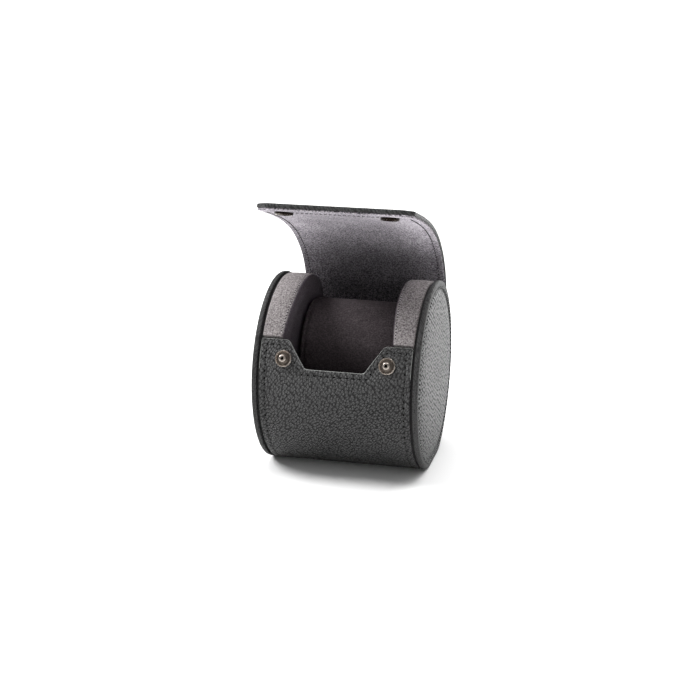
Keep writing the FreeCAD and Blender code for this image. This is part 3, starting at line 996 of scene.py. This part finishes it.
# The lid's side faces take the darker leather: painted shade.
for face in lid_panel.data.polygons:
    if abs(face.normal.z) < 0.75:
        face.material_index = 1
for number, piece in part_lid(lid_panel, "lid_leather_part", 0, on_lid_leather, roll_step):
    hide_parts(f"lid_{number + 1}_leather", f"lid_{number + 1}_board")


# Lid lining
# Mauve-grey suede, glued to the lid's underside and sewn through near its edge, with a wide, shallow hem in
# front. It starts past the hinge with slanted corners, and its cut edge is soft and shows its loose fibres.

lining_half = 38.7 * mm
lining_thick = 1.1 * mm
lining_face = -2.1 * mm
lining_rim = 0.5 * mm
lining_start = 14 * mm
lining_flank = 27 * mm
lining_slant = 26 * mm
lining_back = 0.5 * mm
lining_corner_clear = 0.25 * mm
lining_slant_round = 1.5 * mm
lining_front = lid_length - lining_back
hem_stretch = 2.8
hem_puff = 0.1 * mm
hem_seam = 3.0 * mm
hem_inset = 3.7 * mm
hem_reach = 8 * mm
hem_straight = 4 * mm
hem_corner_share = 0.45
hem_steps = [
    (0.8 * mm, 0.06 * mm), (0.7 * mm, 0.0), (0.5 * mm, -0.06 * mm),
    (0.5 * mm, -0.12 * mm), (0.6 * mm, 0.12 * mm),
]
snap_x = 26.3 * mm
socket_along = 9 * mm - lid_length
punch_radius = 3.4 * mm
punch_deep = 8 * mm
# The lid's lining has painted light towards the front and sides and painted shade in the middle.
lid_lining_suede = suede("mauve_grey_suede", "#9a969b", "#757176", "#464348", fleck=2.0, sheen=0.12,
                         light_and_shade_painted=True)
raw_suede = suede("raw_suede_edge", "#aaa5a9", "#6c676c", "#2c292d", fleck=2.6, sheen=0.1)

lining_outline = mirrored([
    (lid_half - lid_corner_in - lining_corner_clear, -lining_front, lid_corner_round),
    (lining_half, lid_corner_back - lid_length + lining_corner_clear, lid_corner_round),
    (lining_half, -lining_flank, lining_slant_round),
    (lining_slant, -lining_start, lining_slant_round),
])
lid_lining_panel = cut_panel("lid_lining_panel", lining_outline, lining_thick, lining_rim, hem_steps)
for vertex in lid_lining_panel.data.vertices:
    back = vertex.co.y + lining_front
    inset = back if back < hem_straight else (back - lid_corner_back) / hem_corner_share
    if back < hem_reach and vertex.co.z > -0.6 * lining_thick:
        inset = min(hem_inset, max(0, inset))
        vertex.co.y += inset * (hem_stretch - 1)
        vertex.co.z += hem_puff * math.sin(math.pi * min(1, inset / hem_seam)) ** 0.7
dress(lid_lining_panel, lid_lining_suede, raw_suede)
for face in lid_lining_panel.data.polygons:
    if abs(face.normal.z) < 0.6:
        face.material_index = 1

# A hole is punched behind each socket, where the stud's post comes in.
for side in (-1, 1):
    bpy.ops.mesh.primitive_cylinder_add(vertices=40, radius=punch_radius, depth=punch_deep,
                                        location=(side * snap_x, socket_along, 0))
    punch = bpy.context.object
    only(lid_lining_panel)
    bpy.ops.object.modifier_add(type="BOOLEAN")
    lid_lining_panel.modifiers[0].object = punch
    bpy.ops.object.modifier_apply(modifier=lid_lining_panel.modifiers[0].name)
    bpy.data.objects.remove(punch)


def on_lining(x, along, out):
    return on_lid(x, along, lining_face - out)


for number, piece in part_lid(lid_lining_panel, "lid_lining_part", 1, on_lining, roll_step):
    if number == 1:
        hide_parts("lid_1_lining", "lid_2_lining")
    else:
        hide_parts(f"lid_{number + 1}_lining")


# Hinge facing
# A strip of thin smooth leather is glued over the inside of the bend, from the roll's lining to the lid's,
# where it fills the slanted corners.

facing_thick = 0.7 * mm
facing_rim = 0.2 * mm
facing_half = 27.8 * mm
facing_lap = 0.4 * mm
facing_clear = 0.1 * mm
facing_root_clear = 0.2 * mm
facing_bend = -1.5 * mm
facing_neck = 2 * mm
facing_tail = 14 * mm
facing_deep = 1.65 * mm
facing_step = 1.0 * mm
facing_step_start = -8 * mm
facing_step_run = 11 * mm
facing_outline = mirrored([
    (lining_slant, -lining_start - facing_lap, 0),
    (lining_half - facing_clear, -lining_flank - facing_lap, 0),
    (lining_half - facing_clear, -shoulder_end, 0),
    (lid_root - facing_root_clear, -shoulder_start, 0),
    (lid_root - facing_root_clear, facing_bend, 0),
    (facing_half, facing_neck, 0),
    (facing_half, facing_tail, 0),
])


def on_facing(x, along, out):
    """The facing steps from the lid's boards down to the roll's lining as it passes the hinge."""
    ease = eased((along - facing_step_start) / facing_step_run)
    return on_lid(x, along, -facing_deep - facing_step * ease - out)


facing_leather = pebbled_leather(
    "black_hinge_facing_leather", "#2a2a2b", "#242425", "#141414",
    pebble=1.0 * mm, stretch=1.0, net=0.5, height=0.08 * mm, roughness=0.5,
)
hinge_facing = cut_panel("hinge_facing", facing_outline, facing_thick, facing_rim, [])
dress(hinge_facing, facing_leather)
hinge_facing_corners = twin(hinge_facing, "hinge_facing_corners")
trim(hinge_facing, lid_borders[1], None)
trim(hinge_facing_corners, None, lid_borders[1])
for number, piece in ((0, hinge_facing), (1, hinge_facing_corners)):
    score(piece, roll_step)
    lay(piece, on_facing)
    bend_lid(piece, number)
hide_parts("hinge_facing_body", "hinge_facing_lid")


# Lid stitching
# The same lock stitch goes round the lid in graphite thread outside. On the lining a mauve thread runs up
# the sides, and further in along the front, between the sockets. Its dark colour is painted shade, for the
# seam's shadows.

lid_side_seam = lid_half - lid_seam
lid_front_seam = lid_seam - lid_length
lid_corner_seam = 6.46 * mm - lid_length
lid_corner_x = 32.4 * mm
lining_pitch = 2.4 * mm
lining_bow_share = 0.6
lining_hole = 0.3 * mm
lining_thread = 0.28 * mm
lining_lift = 0.12 * mm
lining_side_seam = lining_half - hem_seam
lining_row_start = -lining_flank - 1.2 * mm
lining_row_end = socket_along + 3 * mm
socket_room = 5.2 * mm
lid_path = [
    (-lid_side_seam, hinge_lap), (-lid_side_seam, lid_corner_seam), (-lid_corner_x, lid_front_seam),
    (lid_corner_x, lid_front_seam), (lid_side_seam, lid_corner_seam), (lid_side_seam, hinge_lap),
]
lining_paths = [
    [(-lining_side_seam, lining_row_start), (-lining_side_seam, lining_row_end)],
    [(lining_side_seam, lining_row_start), (lining_side_seam, lining_row_end)],
    [(socket_room - snap_x, socket_along), (snap_x - socket_room, socket_along)],
]
# The lining thread is painted dark: shade of the puckered seam and its holes.
mauve_thread = twisted_thread("dark_mauve_thread", "#3c373d", "#1d1a1e")
lining_stitch = model_stitch(lining_bow_share * lining_pitch, mauve_thread, lining_hole, lining_thread)
lid_row = sew("lid_row", wrap_stitch, lid_path, wrap_pitch, thread_lift)
lining_rows = [sew("lining_row", lining_stitch, path, lining_pitch, lining_lift) for path in lining_paths]
lining_row = join(lining_rows)
for number, piece in part_lid(lid_row, "lid_stitching", 0, on_lid_leather, None):
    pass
for number, piece in part_lid(lining_row, "lining_stitching", 1, on_lining, None):
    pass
for stitch in (wrap_stitch, ring_stitch, cheek_stitch, lining_stitch):
    bpy.data.objects.remove(stitch)


# Snaps
# Two spring studs of nickelled brass are riveted through the ears, each a pressed ring with a hollow post.
# Their sockets are set in the lid's lining, on flat caps that lie hidden under the leather.

stud_angle = math.radians(-69.7)
tip_angle = math.radians(lid_angles[-1])
spin_steps = 48
# Slots 1 and 2 hold painted shade in the hollows of the studs and the sockets.
plate = 0
hollow_shade_slot = 1
bore = 2
stud_profile = [
    (0, 1.1), (0.7, 1.1), (0.72, 2.42), (0.86, 2.6), (1.2, 2.66), (1.6, 2.52), (1.86, 2.18), (1.9, 1.85),
    (1.74, 1.35), (1.64, 0.95), (1.72, 0.62), (2.05, 0.38), (2.6, 0.22), (3.15, 0.2), (3.38, 0.34),
    (3.52, 0.6), (3.75, 0.76), (4.0, 0.72), (4.2, 0.52), (4.3, 0.2), (4.3, -0.2), (0, -0.2),
]
socket_profile = [
    (0, -0.8), (2.25, -0.8), (2.3, 0.25), (2.85, 0.4), (3.3, 0.7), (3.5, 1.15), (3.72, 1.42), (4.1, 1.5),
    (4.45, 1.34), (4.62, 0.95), (4.66, 0.3), (4.66, -0.3), (0, -1.0),
]


def stud_finish(radius, height):
    """Painted black shade in the post's hole, painted shade in the hollow round the post, plated elsewhere."""
    if radius < 0.72:
        return bore
    return hollow_shade_slot if 1.6 < radius < 3.4 and height < 0.8 else plate


def socket_finish(radius, height):
    """Plated on the crown of the ring, and painted black shade elsewhere."""
    return plate if radius >= 2.6 and height > 1.4 else bore


def nickel(name, tone, roughness):
    """Nickel plate on brass: bright metal, lightly brushed by handling."""
    material, tree, shader = start_material(name)
    wear = noise(tree, own_place(tree), 1.2 * mm, 5.0, 0.7)
    gloss = graded(tree, wear, 0.3, 0.7, roughness - 0.08, roughness + 0.1)
    feed(tree, shader, Base_Color=linear(tone), Roughness=gloss, Metallic=1.0)
    return material


def turn_pair(name, profile, place, outward, finish):
    """Two like bodies, spun from a profile of radii and heights in mm, at either side of the middle."""
    bpy.ops.mesh.primitive_circle_add(vertices=len(profile), radius=1)
    body = bpy.context.object
    body.name = name
    for vertex, (radius, height) in zip(body.data.vertices, profile):
        vertex.co = (radius * mm, 0, height * mm)
    open_mesh()
    pick(body, "EDGE", lambda edge: all(vertex.co.x < level_slack for vertex in edge.verts))
    bpy.ops.mesh.delete(type="EDGE_FACE")
    bpy.ops.mesh.select_all(action="SELECT")
    bpy.ops.mesh.spin(steps=spin_steps, angle=2 * math.pi, center=(0, 0, 0), axis=(0, 0, 1))
    bpy.ops.mesh.select_all(action="SELECT")
    bpy.ops.mesh.remove_doubles(threshold=1e-6)
    bpy.ops.mesh.normals_make_consistent(inside=False)
    close_mesh()
    dress(body, snap_nickel, nickel_painted_shade, black_painted_shade)
    for face in body.data.polygons:
        face.material_index = finish(face.center.to_2d().length / mm, face.center.z / mm)
    other = twin(body, name)
    across = Vector((1, 0, 0))
    upward = Vector(outward).cross(across)
    stand = Matrix((across, upward, Vector(outward))).transposed().to_4x4()
    for side, piece in ((-1, body), (1, other)):
        piece.data.transform(Matrix.Translation((side * snap_x, *place)) @ stand)
    join([body, other])
    settle(body, 35)
    return body


snap_nickel = nickel("nickelled_brass", "#a89f97", 0.26)

# In the hollows the plate is darkened, and the post's hole and the sockets' walls are black: painted shade.
nickel_painted_shade = nickel("tarnished_nickel", "#57504a", 0.38)
black_painted_shade = nickel("blackened_bore", "#1c1714", 0.45)
stud_out = (0, math.sin(stud_angle), math.cos(stud_angle))
stud_place = (case_radius * math.sin(stud_angle), axis_height + case_radius * math.cos(stud_angle))
studs = turn_pair("spring_studs", stud_profile, stud_place, stud_out, stud_finish)
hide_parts("snap_studs")
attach(studs, "case")

socket_out = (0, -math.sin(tip_angle), -math.cos(tip_angle))
socket_place = on_lid(0, socket_along, lining_face)[1:]
sockets = turn_pair("spring_sockets", socket_profile, socket_place, socket_out, socket_finish)
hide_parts("snap_sockets")
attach(sockets, "lid_6")
for node in ("snap_stud_rivets", "snap_caps"):
    dress(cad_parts[node], snap_nickel)


# Camera, light and floor
# The photograph is taken a little to the right of the front and from above, on a white ground. Soft light
# comes from above, with a second soft light at the left and a weak soft box behind on the right.

floor_half = 9.0
azimuth = math.radians(13.5)
elevation = math.radians(16.5)
tilt = math.radians(0.35)
camera_place = Vector((170.5, -724.9, 279.1)) * mm
camera_drop = 1.25 * mm
camera_shift = 0.25 * mm

bpy.ops.mesh.primitive_plane_add(size=2 * floor_half, location=(0, 0, 0))
floor = bpy.context.object
floor.name = "floor"
white_paper, tree, shader = start_material("white_paper_sweep")
feed(tree, shader, Base_Color=linear("#f4f4f4"), Roughness=0.9)
dress(floor, white_paper)

bpy.context.scene.view_settings.view_transform = "Standard"
camera_data = bpy.data.cameras.new("camera")
camera_data.lens = 76.46
camera_data.sensor_width = 36
camera = bpy.data.objects.new("camera", camera_data)
bpy.context.scene.collection.objects.link(camera)
level = Vector((math.cos(azimuth), math.sin(azimuth), 0))
ahead = Vector((-math.sin(azimuth), math.cos(azimuth), 0))
back = Vector((0, 0, math.sin(elevation))) - ahead * math.cos(elevation)
upward = back.cross(level)
right = level * math.cos(tilt) + upward * math.sin(tilt)
top = upward * math.cos(tilt) - level * math.sin(tilt)
stand = camera_place - top * camera_drop + right * camera_shift
camera.matrix_world = Matrix.Translation(stand) @ Matrix((right, top, back)).transposed().to_4x4()
bpy.context.scene.camera = camera


def add_light(name, kind, power, place, aim=(0, 0, 0)):
    """A soft light that shines from a place towards a point."""
    data = bpy.data.lights.new(name, kind)
    data.energy = power
    light = bpy.data.objects.new(name, data)
    light.location = place
    light.rotation_euler = (Vector(place) - Vector(aim)).to_track_quat("Z", "Y").to_euler()
    bpy.context.scene.collection.objects.link(light)
    return data


overhead = add_light("overhead", "SUN", 2.9, (-0.05, 0.2, 1.0))
overhead.angle = math.radians(60)
left = add_light("left", "SUN", 3.2, (-1.0, -0.1, 1.0))
left.angle = math.radians(26)
right_back = add_light("right_back", "AREA", 2.5, (0.33, 0.5, 0.24), (0.04, 0, 0.05))
right_back.size = 0.35
world = bpy.data.worlds.new("white_studio")
bpy.context.scene.world = world
world.use_nodes = True
feed(world.node_tree, world.node_tree.nodes["Background"], Color=(1, 1, 1, 1), Strength=0.45)
